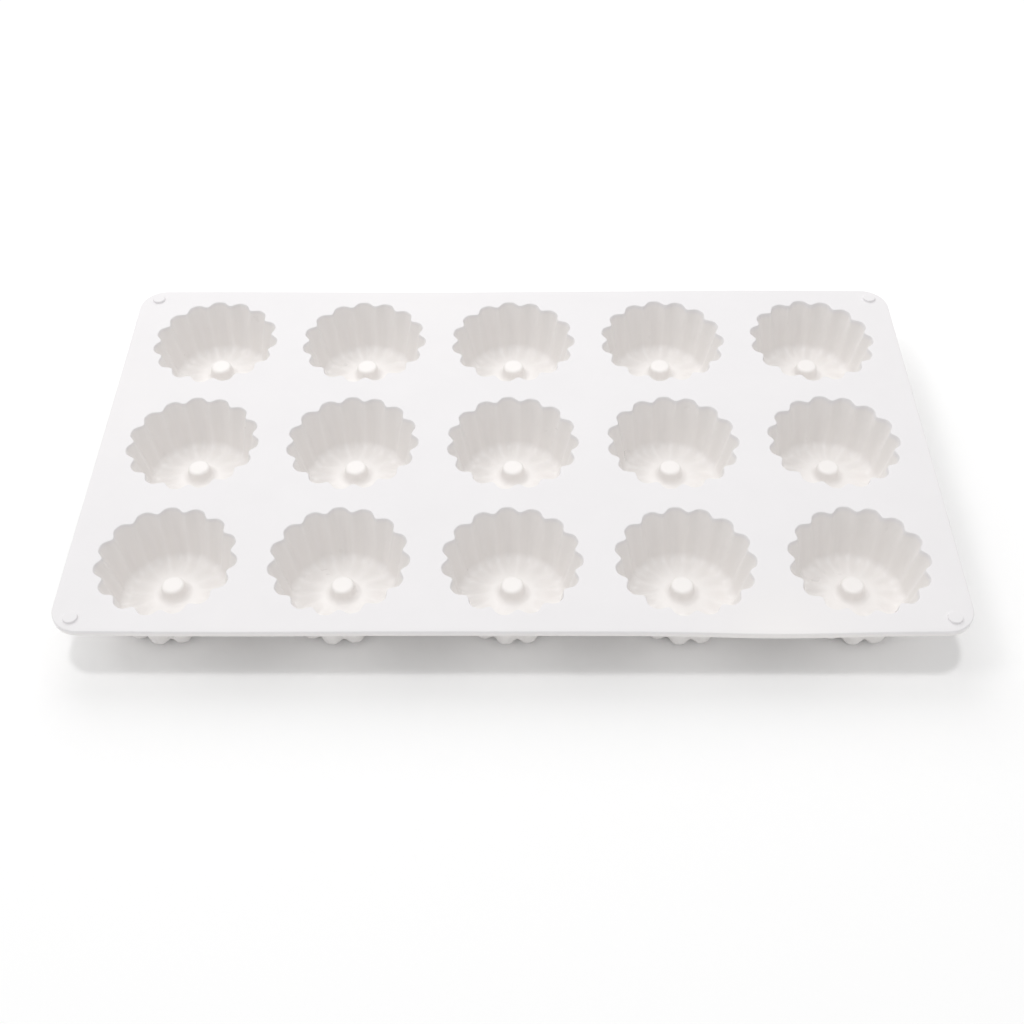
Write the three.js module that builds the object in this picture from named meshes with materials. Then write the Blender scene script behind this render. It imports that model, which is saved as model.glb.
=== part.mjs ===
// Silicone daisy cake mould: a thin sheet with rows of fluted daisy cups hanging from it.
// Millimetres, +Z up, +X along the sheet's long side, +Y towards its rear edge. The origin
// lies under the middle of the mould, on the surface that the cups stand on.
import * as THREE from 'three';

// The grid of cups, and the silicone left round their mouths.
const columnCount = 5;
const rowCount = 3;
const columnWeb = 10.05;
const rowWeb = 8.5;
const endMargin = 9.4;
const sideMargin = 6.7;

// The sheet.
const sheetThickness = 2.5;
const cornerRadius = 10;

// One cup. The mouth is measured to the petals' tips, and the petals are cut in to the notches.
// The cavity is deepest along the petals, and its floor rises from there to the peg's seat.
const petalCount = 15;
const mouthRadius = 24.1;
const petalDepth = 2.4;
const cavityDepth = 20.3;
const wallThickness = 2;
const wallLean = 5.3;
const floorBevel = 3;
const pegLand = 0.8;
const seatRise = 2.6;

// The peg that stands in the middle of a cup and dimples the cake.
const pegBaseRadius = 4.6;
const pegTopRadius = 3.9;
const pegHeight = 4.7;

// The pips on the sheet's corners, which keep stacked moulds apart.
const pipBaseRadius = 2.5;
const pipTopRadius = 2.1;
const pipHeight = 0.9;
const pipEndInset = 7;
const pipSideInset = 5.4;

// The sheet bends at the webs between its columns, each web this far up or down.
const webBend = THREE.MathUtils.degToRad(30);
const webClearance = 0.1;

// How finely round stretches are faceted.
const facetsPerPetal = 3;
const cornerFacets = 6;
const pegFacets = 16;
const pipFacets = 12;

const siliconeColour = 0xf0eeee;

// Heights, from the surface below the cups up.
const floorTop = wallThickness;
const seatTop = floorTop + seatRise;
const sheetTop = floorTop + cavityDepth;
const sheetUnderside = sheetTop - sheetThickness;

// Places across the sheet. The slit between two panels lets both faces clear at full bend.
const columnPitch = 2 * mouthRadius + columnWeb;
const rowPitch = 2 * mouthRadius + rowWeb;
const endReach = mouthRadius + endMargin;
const sideReach = ((rowCount - 1) / 2) * rowPitch + mouthRadius + sideMargin;
const panelSlit = sheetThickness * Math.tan(webBend / 2) + webClearance;
const slitReach = (columnPitch - panelSlit) / 2;

// A petal's end is the circular arc through its tip and the two notches beside it.
const petalHalfAngle = Math.PI / petalCount;
const notchRadius = mouthRadius - petalDepth;
const notchHalfWidth = notchRadius * Math.sin(petalHalfAngle);
const arcRise = mouthRadius - notchRadius * Math.cos(petalHalfAngle);
const arcRadius = (notchHalfWidth ** 2 + arcRise ** 2) / (2 * arcRise);
const arcCentre = mouthRadius - arcRadius;

// The petals run down the wall and along the floor, and die out at the level land round the peg.
const landRadius = pegBaseRadius + pegLand;
const floorRadius = mouthRadius - wallLean;
const bevelFoot = floorRadius - floorBevel;

function silicone() {
  return new THREE.MeshStandardMaterial({ color: siliconeColour, roughness: 0.55, metalness: 0 });
}

function namedMesh(name, geometry, x, y, z) {
  const mesh = new THREE.Mesh(geometry, silicone());
  mesh.name = name;
  mesh.position.set(x, y, z);
  return mesh;
}

/** The place of one of a row of evenly spaced things, counted from 0 and centred on 0. */
function spaced(index, count, pitch) {
  return (index - (count - 1) / 2) * pitch;
}

/** The mouth's radius in one direction. One petal points along +X. */
function mouthRadiusAt(angle) {
  const nearestPetal = Math.round(angle / (2 * petalHalfAngle));
  const turn = angle - nearestPetal * 2 * petalHalfAngle;
  return arcCentre * Math.cos(turn) + Math.sqrt(arcRadius ** 2 - (arcCentre * Math.sin(turn)) ** 2);
}

/** The scalloped outline of a mouth, from one notch round to it again. */
function mouthOutline(y) {
  const facets = petalCount * facetsPerPetal;
  return Array.from({ length: facets }, (_, step) => {
    const angle = petalHalfAngle + (step / facets) * 2 * Math.PI;
    const radius = mouthRadiusAt(angle);
    return new THREE.Vector2(radius * Math.cos(angle), y + radius * Math.sin(angle));
  });
}

/** One corner of an anticlockwise outline: a quarter arc, or a single point where it isn't rounded. */
function corner(x, y, rounded, startAngle) {
  if (!rounded) return [new THREE.Vector2(x, y)];
  const centreX = x - Math.sign(x) * cornerRadius;
  const centreY = y - Math.sign(y) * cornerRadius;
  return Array.from({ length: cornerFacets + 1 }, (_, step) => {
    const angle = startAngle + (step / cornerFacets) * (Math.PI / 2);
    return new THREE.Vector2(
      centreX + cornerRadius * Math.cos(angle),
      centreY + cornerRadius * Math.sin(angle),
    );
  });
}

/** The part of the sheet that carries one column of cups, with its mouths cut through. */
function panelGeometry(column) {
  const isLeftEnd = column === 0;
  const isRightEnd = column === columnCount - 1;
  const left = isLeftEnd ? -endReach : -slitReach;
  const right = isRightEnd ? endReach : slitReach;
  const panel = new THREE.Shape([
    ...corner(right, -sideReach, isRightEnd, -Math.PI / 2),
    ...corner(right, sideReach, isRightEnd, 0),
    ...corner(left, sideReach, isLeftEnd, Math.PI / 2),
    ...corner(left, -sideReach, isLeftEnd, Math.PI),
  ]);
  for (let row = 0; row < rowCount; row += 1) {
    panel.holes.push(new THREE.Path(mouthOutline(spaced(row, rowCount, rowPitch))));
  }
  return new THREE.ExtrudeGeometry(panel, { depth: sheetThickness, bevelEnabled: false });
}

/**
 * The outside of a cup's wall, from its inside profile: each corner moves out along the mitre
 * of its two edges, and the rim stays level under the sheet.
 */
function wallOutside(inside) {
  const normals = inside.slice(1).map((end, edge) => {
    const along = end.clone().sub(inside[edge]).normalize();
    return new THREE.Vector2(along.y, -along.x);
  });
  const outside = inside.map((point, index) => {
    const before = normals[Math.max(index - 1, 0)];
    const after = normals[Math.min(index, normals.length - 1)];
    const mitre = before.clone().add(after).divideScalar(1 + before.dot(after));
    return point.clone().addScaledVector(mitre, wallThickness);
  });
  outside.at(-1).set(mouthRadius + wallThickness / normals.at(-1).x, sheetUnderside);
  return outside;
}

/**
 * Draws a round cup in between its petals: a point moves towards the middle of the rim by the
 * mouth's share of its full radius there, less and less from the bevel's foot in to the land.
 */
function drawInPetals(cup) {
  const rimCentre = new THREE.Vector3(0, 0, sheetUnderside);
  const points = cup.attributes.position;
  const point = new THREE.Vector3();
  for (let index = 0; index < points.count; index += 1) {
    point.fromBufferAttribute(points, index);
    const reach = (Math.hypot(point.x, point.y) - landRadius) / (bevelFoot - landRadius);
    const petalShare = 1 - mouthRadiusAt(Math.atan2(point.y, point.x)) / mouthRadius;
    const scale = 1 - petalShare * THREE.MathUtils.clamp(reach, 0, 1);
    point.sub(rimCentre).multiplyScalar(scale).add(rimCentre);
    points.setXYZ(index, point.x, point.y, point.z);
  }
}

/**
 * A fluted cup, closed at its rim, which butts against the sheet's underside. Its wall is even, and
 * its foot stays flat and solid below the peg's seat.
 */
function cupGeometry() {
  const bevelLean = (wallLean * floorBevel) / (sheetUnderside - floorTop);
  const floor = [new THREE.Vector2(0, floorTop), new THREE.Vector2(landRadius, floorTop)];
  const wall = [
    new THREE.Vector2(bevelFoot, floorTop),
    new THREE.Vector2(floorRadius + bevelLean, floorTop + floorBevel),
    new THREE.Vector2(mouthRadius, sheetUnderside),
  ];
  const seat = floor.map((point) => point.clone().setY(seatTop));
  const inside = [...seat, ...wall];
  const profile = [...wallOutside([...floor, ...wall]), ...inside.toReversed()];
  const firstNotch = Math.PI / 2 + petalHalfAngle;
  const cup = new THREE.LatheGeometry(profile, petalCount * facetsPerPetal, firstNotch);
  cup.rotateX(Math.PI / 2);
  drawInPetals(cup);
  return cup;
}

/** A round stud that tapers upwards from its seat at height 0. */
function studGeometry(topRadius, baseRadius, height, facets) {
  const stud = new THREE.CylinderGeometry(topRadius, baseRadius, height, facets);
  return stud.rotateX(Math.PI / 2).translate(0, 0, height / 2);
}

/** Two pips on the outer corners of an end column: side is -1 at the left end and 1 at the right. */
function addCornerPips(group, side) {
  const end = side < 0 ? 'left' : 'right';
  const x = side * (endReach - pipEndInset);
  const y = sideReach - pipSideInset;
  const pip = studGeometry(pipTopRadius, pipBaseRadius, pipHeight, pipFacets);
  group.add(namedMesh(`corner_pip_front_${end}`, pip, x, -y, sheetTop));
  group.add(namedMesh(`corner_pip_rear_${end}`, pip, x, y, sheetTop));
}

/** One column: its panel of the sheet, and the cups and pegs below it, rows counted from the front. */
function columnGroup(column) {
  const group = new THREE.Group();
  const number = column + 1;
  group.position.x = spaced(column, columnCount, columnPitch);
  group.add(namedMesh(`sheet_panel_${number}`, panelGeometry(column), 0, 0, sheetUnderside));
  const cup = cupGeometry();
  const peg = studGeometry(pegTopRadius, pegBaseRadius, pegHeight, pegFacets);
  for (let row = 0; row < rowCount; row += 1) {
    const y = spaced(row, rowCount, rowPitch);
    group.add(namedMesh(`cup_r${row + 1}_c${number}`, cup, 0, y, 0));
    group.add(namedMesh(`peg_r${row + 1}_c${number}`, peg, 0, y, seatTop));
  }
  if (column === 0) addCornerPips(group, -1);
  if (column === columnCount - 1) addCornerPips(group, 1);
  return group;
}

const mould = new THREE.Group();
for (let column = 0; column < columnCount; column += 1) {
  mould.add(columnGroup(column));
}

export default mould;
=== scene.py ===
"""White silicone daisy cake mould: a thin sheet with fluted daisy cups hanging from it."""
import math

import bmesh
import bpy
import numpy as np
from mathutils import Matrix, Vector


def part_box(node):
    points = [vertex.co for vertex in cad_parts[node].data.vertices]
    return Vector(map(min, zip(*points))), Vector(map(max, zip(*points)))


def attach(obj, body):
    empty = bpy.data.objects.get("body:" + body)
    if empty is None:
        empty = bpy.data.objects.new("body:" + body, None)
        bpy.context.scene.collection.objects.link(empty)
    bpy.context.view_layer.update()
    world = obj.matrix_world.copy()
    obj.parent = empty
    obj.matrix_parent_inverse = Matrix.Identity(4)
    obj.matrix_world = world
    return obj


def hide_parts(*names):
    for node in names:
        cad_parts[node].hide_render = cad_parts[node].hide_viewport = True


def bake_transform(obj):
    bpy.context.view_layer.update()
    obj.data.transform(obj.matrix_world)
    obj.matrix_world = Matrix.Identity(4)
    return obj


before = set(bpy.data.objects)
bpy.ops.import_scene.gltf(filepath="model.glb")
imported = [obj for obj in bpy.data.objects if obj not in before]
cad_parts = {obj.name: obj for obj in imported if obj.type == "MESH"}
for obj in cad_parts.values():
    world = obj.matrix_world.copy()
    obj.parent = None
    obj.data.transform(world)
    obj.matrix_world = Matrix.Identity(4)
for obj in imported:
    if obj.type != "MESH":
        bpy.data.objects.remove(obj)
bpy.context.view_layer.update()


# The sheet's panels
# One flat sheet of white food-grade silicone, compression moulded with all that hangs below it, with
# a scalloped mouth for every cup. Its edges and the lips of its mouths are a little rounded, and it
# lies slightly uneven, because it is soft. Each column of cups has its own panel of it.
MM = 0.001
COLUMNS = range(1, 6)
ROWS = range(1, 4)
SHEET_LOW = np.array(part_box("sheet_panel_1")[0])
SHEET_HIGH = np.array(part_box("sheet_panel_5")[1])
SHEET_UNDER = SHEET_LOW[2]
SHEET_TOP = SHEET_HIGH[2]
WALL = 2 * MM
FLOOR_TOP = WALL
PETALS = 15
RAYS_PER_PETAL = 16
RAYS = PETALS * RAYS_PER_PETAL
RAY_CROWDING = 0.4  # how much closer the rays stand in the notches than evenly spaced ones
PETAL_TURN = math.radians(-1)
MOUTH_RADIUS = 24.1 * MM
PETAL_DEPTH = 2.35 * MM
MOUTH_FULLNESS = 1.7
SEAM_RADIUS = 23.35 * MM  # the cavity's wall where it passes the sheet's underside
FLOOR_RADIUS = 18.8 * MM  # the same wall carried straight down to the cup's floor
WALL_LEAN = math.atan((SEAM_RADIUS - FLOOR_RADIUS) / (SHEET_UNDER - FLOOR_TOP))
LIP_RADIUS = 0.45 * MM
EDGE_RADIUS = 0.45 * MM
CORNER_RADIUS = 10 * MM
WEB_WIDTH = 5 * MM  # the strip between two panels that takes the bend
SHARP_ANGLE = math.radians(50)  # faces that turn by more than this meet in a crisp edge
WELD = 1e-7  # points nearer to each other than this are one

# Where the soft sheet has sunk or risen between its cups: x, y, height and spread.
SETTLING = np.array([
    (87, -90, -1.3, 20),
    (-90, -88, -0.4, 24),
    (-40, 90, -0.5, 35),
    (95, 90, 0.4, 30),
    (-150, 20, -0.5, 40),
    (150, -10, 0.5, 40),
]) * MM

# The tool's flat face is spark eroded, which leaves the sheet matt, and its cup cores are polished,
# which leaves a soft gloss in the cavities.
SHEET_WHITE = "#EDEBEC"
SHEET_SHADE = "#E8E6E7"
# Painted bounce light: the cups get a warmer, slightly brighter white than the sheet, for the warm
# light reflected round inside them.
CAVITY_PAINTED_BOUNCE_WHITE = "#F1EEEC"
SILICONE_IOR = 1.41
MATT_ROUGHNESS = 0.62
POLISHED_ROUGHNESS = 0.3
ROUGHNESS_SPREAD = 0.06
MOTTLE_SIZE = 22 * MM
GLOSS_PATCH = 9 * MM
SPARK_GRAIN = 0.7 * MM  # really about 0.05 mm, drawn coarser so that it shows
SPARK_HEIGHT = 0.012 * MM

# A Mix node's sockets share their names, so they go by number.
FACTOR, NUMBER_A, NUMBER_B, COLOUR_A, COLOUR_B = 0, 2, 3, 6, 7
NUMBER_RESULT, COLOUR_RESULT = 0, 2


def linear(hex_colour):
    """An sRGB hex colour as linear RGBA."""
    srgb = np.array([int(hex_colour[i : i + 2], 16) for i in (1, 3, 5)]) / 255
    rgb = np.where(srgb <= 0.04045, srgb / 12.92, ((srgb + 0.055) / 1.055) ** 2.4)
    return (*rgb.tolist(), 1.0)


def add_node(tree, kind, settings=None, inputs=None):
    """Adds a node: settings are its attributes, inputs its sockets' values or what they link to."""
    node = tree.nodes.new(kind)
    for name, value in (settings or {}).items():
        setattr(node, name, value)
    for name, value in (inputs or {}).items():
        if isinstance(value, bpy.types.NodeSocket):
            tree.links.new(value, node.inputs[name])
        else:
            node.inputs[name].default_value = value
    return node


def silicone_rubber():
    """White silicone: faintly mottled, matt on the sheet's face and glossier in the cups below it,
    where a warmer white is painted bounce light.
    """
    material = bpy.data.materials.new("white_silicone_rubber")
    material.use_nodes = True
    tree = material.node_tree
    tree.nodes.clear()
    place = add_node(tree, "ShaderNodeTexCoord").outputs["Object"]
    height = add_node(tree, "ShaderNodeSeparateXYZ", inputs={"Vector": place}).outputs["Z"]
    # The cups' height mask: it sets their real gloss and also their painted bounce light.
    cup_gloss_and_painted_bounce = add_node(
        tree, "ShaderNodeMapRange", {"interpolation_type": "SMOOTHSTEP"},
        {"Value": height, "From Min": SHEET_TOP, "From Max": SHEET_UNDER},
    ).outputs["Result"]
    mottle = add_node(
        tree, "ShaderNodeTexNoise",
        inputs={"Vector": place, "Scale": 1 / MOTTLE_SIZE, "Detail": 4.0, "Roughness": 0.6},
    ).outputs["Fac"]
    sheet_colour = add_node(
        tree, "ShaderNodeMix", {"data_type": "RGBA"},
        {FACTOR: mottle, COLOUR_A: linear(SHEET_WHITE), COLOUR_B: linear(SHEET_SHADE)},
    ).outputs[COLOUR_RESULT]
    # Painted bounce light: down into the cups the colour turns to the warmer cavity white.
    colour = add_node(
        tree, "ShaderNodeMix", {"data_type": "RGBA"},
        {FACTOR: cup_gloss_and_painted_bounce, COLOUR_A: sheet_colour, COLOUR_B: linear(CAVITY_PAINTED_BOUNCE_WHITE)},
    ).outputs[COLOUR_RESULT]
    finish = add_node(
        tree, "ShaderNodeMix",
        inputs={FACTOR: cup_gloss_and_painted_bounce, NUMBER_A: MATT_ROUGHNESS, NUMBER_B: POLISHED_ROUGHNESS},
    ).outputs[NUMBER_RESULT]
    patches = add_node(
        tree, "ShaderNodeTexNoise",
        inputs={"Vector": place, "Scale": 1 / GLOSS_PATCH, "Detail": 3.0},
    ).outputs["Fac"]
    unevenness = add_node(
        tree, "ShaderNodeMapRange",
        inputs={"Value": patches, "To Min": -ROUGHNESS_SPREAD, "To Max": ROUGHNESS_SPREAD},
    ).outputs["Result"]
    roughness = add_node(
        tree, "ShaderNodeMath", {"operation": "ADD"}, {0: finish, 1: unevenness}
    ).outputs["Value"]
    grain = add_node(
        tree, "ShaderNodeTexNoise",
        inputs={"Vector": place, "Scale": 1 / SPARK_GRAIN, "Detail": 2.0},
    ).outputs["Fac"]
    bump = add_node(
        tree, "ShaderNodeBump", inputs={"Height": grain, "Distance": SPARK_HEIGHT, "Strength": 1.0}
    ).outputs["Normal"]
    shader = add_node(
        tree, "ShaderNodeBsdfPrincipled",
        inputs={"Base Color": colour, "Roughness": roughness, "IOR": SILICONE_IOR, "Normal": bump},
    ).outputs["BSDF"]
    add_node(tree, "ShaderNodeOutputMaterial", inputs={"Surface": shader})
    return material


silicone = silicone_rubber()


def middle(node):
    """The middle of a CAD node's box."""
    low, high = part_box(node)
    return (np.array(low) + np.array(high)) / 2


def petal_share(angle, fullness):
    """The share of the full radius that a scalloped outline reaches in each direction.

    It falls short by the petals' depth times a power of the half versine of the direction's phase,
    which is 0 on a petal's tip and 1 in a notch. A higher power gives fuller petals and narrower
    notches.
    """
    notch = (1 - np.cos((angle - PETAL_TURN) * PETALS)) / 2
    return 1 - PETAL_DEPTH / MOUTH_RADIUS * notch**fullness


def arc(centre, radius, start, end, steps):
    """Points of a circular arc in a section, from one angle to another."""
    angle = np.linspace(start, end, steps + 1)
    return np.stack([centre[0] + radius * np.cos(angle), centre[1] + radius * np.sin(angle)], -1)


def straight(start, end, steps):
    """Points of a straight line with both its ends, or of one line for each row of ends."""
    share = np.linspace(0, 1, steps + 1)[:, None]
    return np.asarray(start)[..., None, :] * (1 - share) + np.asarray(end)[..., None, :] * share


def settle(points):
    """Lifts points by the sheet's unevenness: a sum of bell curves, which fades out at the table."""
    away = (points[:, None, :2] - SETTLING[:, :2]) / SETTLING[:, 3:]
    lift = (np.exp(-(away**2).sum(-1) / 2) * SETTLING[:, 2]).sum(-1)
    settled = points.copy()
    settled[:, 2] += lift * np.clip(points[:, 2] / SHEET_UNDER, 0, 1)
    return settled


def silicone_piece(name, grids):
    """One closed piece from grids of points, each with a mask of its quads that are kept.

    Neighbouring points become quads, and points that meet are welded, which closes seams and poles.
    """
    points, quads, count = [], [], 0
    for grid, kept in grids:
        index = np.arange(grid.shape[0] * grid.shape[1]).reshape(grid.shape[:2]) + count
        corners = np.stack([index[:-1, :-1], index[1:, :-1], index[1:, 1:], index[:-1, 1:]], -1)
        points.append(grid.reshape(-1, 3))
        quads.append(corners[kept].reshape(-1, 4))
        count += index.size
    mesh = bpy.data.meshes.new(name)
    mesh.from_pydata(settle(np.concatenate(points)), [], np.concatenate(quads))
    shape = bmesh.new()
    shape.from_mesh(mesh)
    bmesh.ops.remove_doubles(shape, verts=shape.verts, dist=WELD)
    bmesh.ops.recalc_face_normals(shape, faces=shape.faces)
    shape.to_mesh(mesh)
    shape.free()
    mesh.shade_smooth()
    mesh.set_sharp_from_angle(angle=SHARP_ANGLE)
    mesh.materials.append(silicone)
    piece = bpy.data.objects.new(name, mesh)
    bpy.context.scene.collection.objects.link(piece)
    return piece


even_angle = np.arange(RAYS + 1) * 2 * math.pi / RAYS
ray_angle = even_angle + RAY_CROWDING * np.sin((even_angle - PETAL_TURN) * PETALS) / PETALS
ray = np.stack([np.cos(ray_angle), np.sin(ray_angle)], -1)
ray_share = petal_share(ray_angle, MOUTH_FULLNESS)
column_x = [middle(f"peg_r1_c{column}")[0] for column in COLUMNS]
row_y = [middle(f"peg_r{row}_c1")[1] for row in ROWS]
tile_half = np.array([column_x[1] - column_x[0] - WEB_WIDTH, row_y[1] - row_y[0]]) / 2


def lip_section():
    """A mouth's wall through the sheet, up and over its lip, as (radius, height)."""
    hub_height = SHEET_TOP - LIP_RADIUS
    wall_there = SEAM_RADIUS + (hub_height - SHEET_UNDER) * math.tan(WALL_LEAN)
    hub = (wall_there + LIP_RADIUS / math.cos(WALL_LEAN), hub_height)
    lip = arc(hub, LIP_RADIUS, math.pi - WALL_LEAN, math.pi / 2, steps=8)
    wall = straight((SEAM_RADIUS, SHEET_UNDER), lip[0], steps=3)
    return np.concatenate([wall[:-1], lip])


def edge_section(radius):
    """The sheet's edge from its top round to its underside, as (distance outwards, height)."""
    upper = arc((-radius, SHEET_TOP - radius), radius, math.pi / 2, 0, steps=6)
    lower = arc((-radius, SHEET_UNDER + radius), radius, 0, -math.pi / 2, steps=6)
    return np.concatenate([upper, [(0, (SHEET_TOP + SHEET_UNDER) / 2)], lower])


def tile_border(centre, low, high):
    """Where each ray from a mouth's centre meets its tile's border.

    A ray runs to the nearest side of the rectangle, and the ray nearest to a corner runs to the
    corner itself. At a corner of the sheet, rays run to the corner's arc instead. The second result
    points outwards on the sheet's own edges, and is nothing on borders within the sheet.
    """
    towards = np.where(ray > 0, high, low) - centre
    reach = np.abs(towards) / np.maximum(np.abs(ray), WELD)
    border = centre + ray * reach.min(-1, keepdims=True)
    arc_hub = np.full_like(border, np.nan)
    for corner in [np.array([x, y]) for x in (low[0], high[0]) for y in (low[1], high[1])]:
        at_sheet_corner = (np.isclose(corner, SHEET_LOW[:2]) | np.isclose(corner, SHEET_HIGH[:2])).all()
        if at_sheet_corner:
            outwards = np.sign(corner - centre)
            hub = corner - outwards * CORNER_RADIUS
            along = (ray * (hub - centre)).sum(-1)
            inside = along**2 - ((hub - centre) ** 2).sum() + CORNER_RADIUS**2
            hit = centre + ray * (along + np.sqrt(np.maximum(inside, 0)))[:, None]
            on_arc = (inside > 0) & ((hit - hub) * outwards > 0).all(-1)
            border[on_arc] = hit[on_arc]
            arc_hub[on_arc] = hub
        else:
            away = np.hypot(*(border - corner).T)
            border[np.isclose(away, away.min(), atol=WELD)] = corner
    outward = np.isclose(border, SHEET_HIGH[:2]) * 1.0 - np.isclose(border, SHEET_LOW[:2])
    outward = np.where(np.isnan(arc_hub), outward, (border - arc_hub) / CORNER_RADIUS)
    return border, outward


def sheet_tile(column, row):
    """The sheet round one mouth: up the lip, ruled out to the tile's border, round it and back below.

    Where two tiles of a panel meet, the quads of their common border are left out.
    """
    centre = np.array([column_x[column - 1], row_y[row - 1]])
    at_low_end = (column == COLUMNS[0], row == ROWS[0])
    at_high_end = (column == COLUMNS[-1], row == ROWS[-1])
    low = np.where(at_low_end, SHEET_LOW[:2], centre - tile_half)
    high = np.where(at_high_end, SHEET_HIGH[:2], centre + tile_half)
    border, outward = tile_border(centre, low, high)

    section = lip_section()
    wall = np.empty((RAYS + 1, len(section), 3))
    wall[..., :2] = centre + ray[:, None] * (ray_share[:, None] * section[:, 0])[..., None]
    wall[..., 2] = section[:, 1]

    on_sheet_edge = (outward != 0).any(-1)
    section = np.where(on_sheet_edge[:, None, None], edge_section(EDGE_RADIUS), edge_section(0))
    edge = np.empty((RAYS + 1, section.shape[1], 3))
    edge[..., :2] = border[:, None] + outward[:, None] * section[..., :1]
    edge[..., 2] = section[..., 1]

    top = straight(wall[:, -1], edge[:, 0], steps=8)[:, 1:-1]
    under = straight(edge[:, -1], wall[:, 0], steps=4)[:, 1:]
    grid = np.concatenate([wall, top, edge, under], 1)

    inner_rows = [y for y, outer in ((low[1], at_low_end[1]), (high[1], at_high_end[1])) if not outer]
    on_inner_row = np.isclose(border[:, 1:], inner_rows).any(-1)
    kept = np.ones((RAYS, grid.shape[1] - 1), bool)
    edge_start = wall.shape[1] + top.shape[1]
    edge_quads = slice(edge_start, edge_start + edge.shape[1] - 1)
    kept[on_inner_row[:-1] & on_inner_row[1:], edge_quads] = False
    return grid, kept


for column in COLUMNS:
    panel = silicone_piece(f"mould_panel_{column}", [sheet_tile(column, row) for row in ROWS])
    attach(panel, f"column_{column}")
    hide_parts(f"sheet_panel_{column}")


# The webs between the panels
# Narrow strips of the same sheet, moulded in one with the panels on both sides. On the real mould they
# take the bend when an end is lifted; here each is drawn as a flat strip between two columns.
WEB_STEPS = 10
WEB_LENGTH_STEPS = 90


def sheet_web(low_x, high_x):
    """A strip of sheet: its lengthwise section from the front edge over the top to the rear edge, and
    the one along the underside, both carried across, with the two closed against each other."""
    edge = edge_section(EDGE_RADIUS)
    half = len(edge) // 2
    front = np.stack([SHEET_LOW[1] - edge[:, 0], edge[:, 1]], -1)
    rear = np.stack([SHEET_HIGH[1] + edge[:, 0], edge[:, 1]], -1)
    top = straight(front[0], rear[0], WEB_LENGTH_STEPS)[1:-1]
    under = straight(front[-1], rear[-1], WEB_LENGTH_STEPS)[1:-1]
    over = np.concatenate([front[half::-1], top, rear[: half + 1]])
    below = np.concatenate([front[half:], under, rear[: half - 1 : -1]])
    x = np.linspace(low_x, high_x, WEB_STEPS + 1)
    faces = np.empty((2, WEB_STEPS + 1, len(over), 3))
    faces[..., 0] = x[:, None]
    faces[0, ..., 1:] = over
    faces[1, ..., 1:] = below
    return [(grid, ...) for grid in (faces[0], faces[1], faces[:, 0], faces[:, -1])]


for column in COLUMNS[:-1]:
    web_low = column_x[column - 1] + tile_half[0]
    web_high = web_low + WEB_WIDTH
    web = silicone_piece(f"mould_web_{column}_{column + 1}", sheet_web(web_low, web_high))
    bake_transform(web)


# The daisy cups
# Fluted silicone shells about 2 mm thick, moulded in one with the sheet. Each petal runs down the
# wall and along the floor, which rises to the foot of the peg. The outside has the same petals, with
# narrower grooves between them.
FLOOR_FILLET = 3 * MM
ROOT_FILLET = 1.2 * MM
RIM_RADIUS = SEAM_RADIUS + WALL / math.cos(WALL_LEAN)
PEG_FOOT_FILLET = 2.2 * MM
PEG_TOP_RADIUS = 3.9 * MM
peg_low, peg_high = np.array(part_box("peg_r2_c3"))
PEG_BASE_RADIUS = (peg_high - peg_low)[0] / 2
SEAT_TOP = peg_low[2]
PEG_TOP = peg_high[2]
PEG_DRAFT = math.atan((PEG_BASE_RADIUS - PEG_TOP_RADIUS) / (PEG_TOP - SEAT_TOP))
PEG_FOOT_RADIUS = PEG_BASE_RADIUS + PEG_FOOT_FILLET * (1 / math.cos(PEG_DRAFT) - math.tan(PEG_DRAFT))
FLUTE_FULLNESS = 1.0
FLUTE_EASE = 7 * MM  # the depth below the sheet at which the ridges between the petals are roundest

# How deep the flutes are cut below the sheet: the depth below it, and the share of the mouth's notches.
FLUTE_DEPTHS = np.array([(0, 1.0), (5 * MM, 0.9), (14 * MM, 0.65), (18 * MM, 0.7)])


def smooth_step(share):
    """0 below 0, 1 above 1, and between them a curve that is level at both ends."""
    held = np.clip(share, 0, 1)
    return held**2 * (3 - 2 * held)


def ease(start, end, steps):
    """Points of a line that leaves its start and reaches its end level, by the smooth step."""
    share = np.linspace(0, 1, steps + 1)
    rise = smooth_step(share)
    return np.stack([start[0] + (end[0] - start[0]) * share, start[1] + (end[1] - start[1]) * rise], -1)


def cup_section():
    """A cup's section in two parts: from the peg's seat down along the floor and up the inside, and
    from the rim down the outside to the middle of the foot.

    Fillets of a common middle keep the wall even in the corner of the floor, and a fillet on the
    outside carries the wall into the sheet's underside.
    """
    wall_there = FLOOR_RADIUS + FLOOR_FILLET * math.tan(WALL_LEAN)
    hub = (wall_there - FLOOR_FILLET / math.cos(WALL_LEAN), FLOOR_TOP + FLOOR_FILLET)
    inner = arc(hub, FLOOR_FILLET, -math.pi / 2, -WALL_LEAN, steps=10)
    outer = arc(hub, FLOOR_FILLET + WALL, -WALL_LEAN, -math.pi / 2, steps=12)
    root_there = RIM_RADIUS - ROOT_FILLET * math.tan(WALL_LEAN)
    root_hub = (root_there + ROOT_FILLET / math.cos(WALL_LEAN), SHEET_UNDER - ROOT_FILLET)
    root = arc(root_hub, ROOT_FILLET, math.pi / 2, math.pi - WALL_LEAN, steps=6)
    seat_edge = (PEG_FOOT_RADIUS, SEAT_TOP)
    inside = [
        [(0, SEAT_TOP)],
        ease(seat_edge, inner[0], steps=14)[:-1],
        inner,
        straight(inner[-1], (SEAM_RADIUS, SHEET_UNDER), steps=8)[1:],
    ]
    outside = [
        root,
        straight(root[-1], outer[0], steps=8)[1:-1],
        outer,
        straight(outer[-1], (0, 0), steps=14)[1:],
    ]
    return np.concatenate(inside), np.concatenate(outside)


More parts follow.
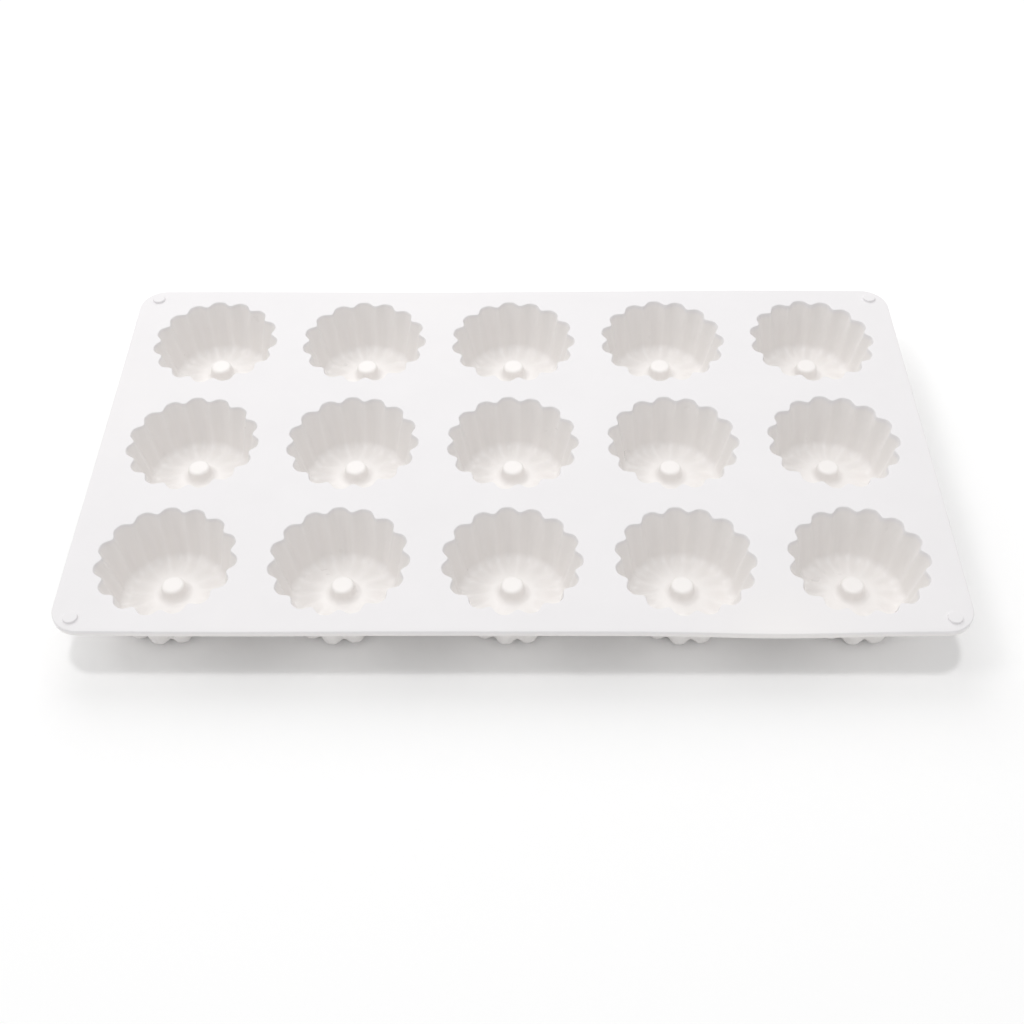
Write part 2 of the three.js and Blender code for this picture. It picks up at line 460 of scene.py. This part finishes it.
def fluted_cup():
    """The cup's section carried round its axis and drawn in between the petals.

    A point moves towards the middle of the rim by what the outline falls short in its direction,
    times the flutes' depth at its height, times how far it lies from the peg's foot on the way to
    the foot of the wall. Down the inside the ridges between the petals get rounder.
    """
    inside, outside = cup_section()
    section = np.concatenate([inside, outside])
    wall_foot = FLOOR_RADIUS - FLOOR_FILLET
    reach = smooth_step((section[:, 0] - PEG_FOOT_RADIUS) / (wall_foot - PEG_FOOT_RADIUS))
    depth = SHEET_UNDER - section[:, 1]
    on_inside = np.arange(len(section)) < len(inside)
    rounder = smooth_step(depth / FLUTE_EASE) * on_inside
    fullness = MOUTH_FULLNESS + (FLUTE_FULLNESS - MOUTH_FULLNESS) * rounder
    cut = reach * np.interp(depth, *FLUTE_DEPTHS.T)
    scale = 1 - (1 - petal_share(ray_angle[:, None], fullness)) * cut
    cup = np.empty((*scale.shape, 3))
    cup[..., :2] = ray[:, None] * (scale * section[:, 0])[..., None]
    cup[..., 2] = SHEET_UNDER + (section[:, 1] - SHEET_UNDER) * scale
    return cup


cup_grid = fluted_cup()
for column in COLUMNS:
    for row in ROWS:
        place = (column_x[column - 1], row_y[row - 1], 0)
        cup = silicone_piece(f"daisy_cup_r{row}_c{column}", [(cup_grid + place, ...)])
        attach(cup, f"column_{column}")
        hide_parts(f"cup_r{row}_c{column}")


# The pegs
# Tapered studs with a softly rounded top, which stand in the middle of the cups' floors and dimple
# the cakes. They are moulded in one with the cups, and a wide fillet runs round their foot.
PEG_ROUNDING = 1.2 * MM
STUD_RAY_STRIDE = 4  # studs are small, so they take every fourth ray


def stud(base_radius, base, top, draft, rounding, foot_fillet):
    """A stud's section carried round its axis: a flat base, a fillet, a tapered side, a rounded edge
    and a flat top."""
    fillet_there = base_radius - foot_fillet * math.tan(draft)
    foot_hub = (fillet_there + foot_fillet / math.cos(draft), base + foot_fillet)
    foot = arc(foot_hub, foot_fillet, 1.5 * math.pi, math.pi + draft, steps=8)
    side_there = base_radius - (top - rounding - base) * math.tan(draft)
    hub = (side_there - rounding / math.cos(draft), top - rounding)
    edge = arc(hub, rounding, draft, math.pi / 2, steps=6)
    section = np.concatenate([
        [(0, base)],
        foot,
        straight(foot[-1], edge[0], steps=3)[1:-1],
        edge,
        straight(edge[-1], (0, top), steps=4)[1:],
    ])
    around = ray[::STUD_RAY_STRIDE]
    shape = np.empty((len(around), len(section), 3))
    shape[..., :2] = around[:, None] * section[:, :1]
    shape[..., 2] = section[:, 1]
    return shape


peg_grid = stud(PEG_BASE_RADIUS, SEAT_TOP, PEG_TOP, PEG_DRAFT, PEG_ROUNDING, PEG_FOOT_FILLET)
for column in COLUMNS:
    for row in ROWS:
        place = (column_x[column - 1], row_y[row - 1], 0)
        peg = silicone_piece(f"daisy_peg_r{row}_c{column}", [(peg_grid + place, ...)])
        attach(peg, f"column_{column}")
        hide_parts(f"peg_r{row}_c{column}")


# The corner pips
# Low round studs of the same silicone, moulded in one with the sheet near its corners. They keep
# stacked moulds apart.
PIP_DRAFT = math.radians(10)
PIP_ROUNDING = 0.25 * MM
PIP_FOOT_FILLET = 0.2 * MM

pip_low, pip_high = np.array(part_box("corner_pip_front_left"))
pip_radius = (pip_high - pip_low)[0] / 2
pip_grid = stud(pip_radius, pip_low[2], pip_high[2], PIP_DRAFT, PIP_ROUNDING, PIP_FOOT_FILLET)
for end, column in (("left", COLUMNS[0]), ("right", COLUMNS[-1])):
    for side in ("front", "rear"):
        place = (*middle(f"corner_pip_{side}_{end}")[:2], 0)
        pip = silicone_piece(f"stacking_pip_{side}_{end}", [(pip_grid + place, ...)])
        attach(pip, f"column_{column}")
        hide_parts(f"corner_pip_{side}_{end}")


# The table, light and camera
# A plain white table in even studio light: a small lamp overhead, a softbox close behind, a weaker one
# on the left, and a normal lens that looks down on the mould from the front.
TABLE_WHITE = "#FFFFFF"
TABLE_ROUGHNESS = 0.9
TABLE_HALF = 6.0
CLEAR_OF_SHADOW = 220 * MM  # from the middle to where the mould's shadow has ended
ALL_WHITE = 3 * CLEAR_OF_SHADOW  # from the middle to where the table looks plain white
LAMPS = (  # name, kind, place, strength, and angular width or size
    ("overhead_lamp", "SUN", (-0.05, 0.02, 1.5), 0.52, math.radians(6.5)),
    ("left_softbox", "SUN", (-0.6, 0, 0.8), 0.26, math.radians(16)),
    ("rear_softbox", "AREA", (-0.12, 0.38, 0.52), 1.15, 0.55),
)
SKY_STRENGTH = 0.65
CAMERA_PLACE = (2.6 * MM, -364.5 * MM, SHEET_TOP + 353.5 * MM)
CAMERA_TURN = [math.radians(angle) for angle in (42.98, 0.233, 0.228)]
CAMERA_LENS = 49.08
CAMERA_SENSOR = 36.0


def seen_share(tree):
    """1 for the rays that show a thing to the eye, straight, in a gloss or through a clear body, and
    0 for the rays that carry its light to other things."""
    rays = add_node(tree, "ShaderNodeLightPath").outputs
    straight_or_gloss = add_node(
        tree, "ShaderNodeMath", {"operation": "MAXIMUM"},
        {0: rays["Is Camera Ray"], 1: rays["Is Glossy Ray"]},
    ).outputs["Value"]
    return add_node(
        tree, "ShaderNodeMath", {"operation": "MAXIMUM"},
        {0: straight_or_gloss, 1: rays["Is Transmission Ray"]},
    ).outputs["Value"]


def white_table_paint():
    """Matt white paint. Beyond the mould's shadow it fades, by the distance from the middle, to plain
    white for the rays that show it, as the white sweep of a studio does."""
    material = bpy.data.materials.new("white_table_paint")
    material.use_nodes = True
    tree = material.node_tree
    tree.nodes.clear()
    paint = add_node(
        tree, "ShaderNodeBsdfPrincipled",
        inputs={
            "Base Color": linear(TABLE_WHITE), "Roughness": TABLE_ROUGHNESS, "Specular IOR Level": 0.0,
        },
    ).outputs["BSDF"]
    place = add_node(tree, "ShaderNodeTexCoord").outputs["Object"]
    from_middle = add_node(
        tree, "ShaderNodeVectorMath", {"operation": "LENGTH"}, {0: place}
    ).outputs["Value"]
    far = add_node(
        tree, "ShaderNodeMapRange", {"interpolation_type": "SMOOTHSTEP"},
        {"Value": from_middle, "From Min": CLEAR_OF_SHADOW, "From Max": ALL_WHITE},
    ).outputs["Result"]
    whitened = add_node(
        tree, "ShaderNodeMath", {"operation": "MULTIPLY"}, {0: far, 1: seen_share(tree)}
    ).outputs["Value"]
    white = add_node(tree, "ShaderNodeEmission", inputs={"Strength": 1.0}).outputs["Emission"]
    shader = add_node(
        tree, "ShaderNodeMixShader", inputs={0: whitened, 1: paint, 2: white}
    ).outputs["Shader"]
    add_node(tree, "ShaderNodeOutputMaterial", inputs={"Surface": shader})
    return material


table_mesh = bpy.data.meshes.new("table")
table_corners = [(x * TABLE_HALF, y * TABLE_HALF, 0) for x, y in ((-1, -1), (1, -1), (1, 1), (-1, 1))]
table_mesh.from_pydata(table_corners, [], [(0, 1, 2, 3)])
table_mesh.materials.append(white_table_paint())
table = bpy.data.objects.new("table", table_mesh)
bpy.context.scene.collection.objects.link(table)

for name, kind, place, strength, width in LAMPS:
    light = bpy.data.lights.new(name, kind)
    light.energy = strength
    if kind == "SUN":
        light.angle = width
    else:
        light.size = width
    lamp = bpy.data.objects.new(name, light)
    lamp.location = place
    lamp.rotation_euler = (-Vector(place)).to_track_quat("-Z", "Y").to_euler()
    bpy.context.scene.collection.objects.link(lamp)

# The studio is white to look at, and lights the mould less than it would at that brightness.
world = bpy.data.worlds.new("studio")
world.use_nodes = True
sky_tree = world.node_tree
sky_tree.nodes.clear()
brightness = add_node(
    sky_tree, "ShaderNodeMix",
    inputs={FACTOR: seen_share(sky_tree), NUMBER_A: SKY_STRENGTH, NUMBER_B: 1.0},
).outputs[NUMBER_RESULT]
sky = add_node(
    sky_tree, "ShaderNodeBackground", inputs={"Color": (1, 1, 1, 1), "Strength": brightness}
).outputs["Background"]
add_node(sky_tree, "ShaderNodeOutputWorld", inputs={"Surface": sky})
bpy.context.scene.world = world

camera_lens = bpy.data.cameras.new("camera")
camera_lens.lens = CAMERA_LENS
camera_lens.sensor_width = CAMERA_SENSOR
camera = bpy.data.objects.new("camera", camera_lens)
camera.location = CAMERA_PLACE
camera.rotation_euler = CAMERA_TURN
bpy.context.scene.collection.objects.link(camera)
bpy.context.scene.camera = camera
bpy.context.scene.view_settings.view_transform = "Standard"
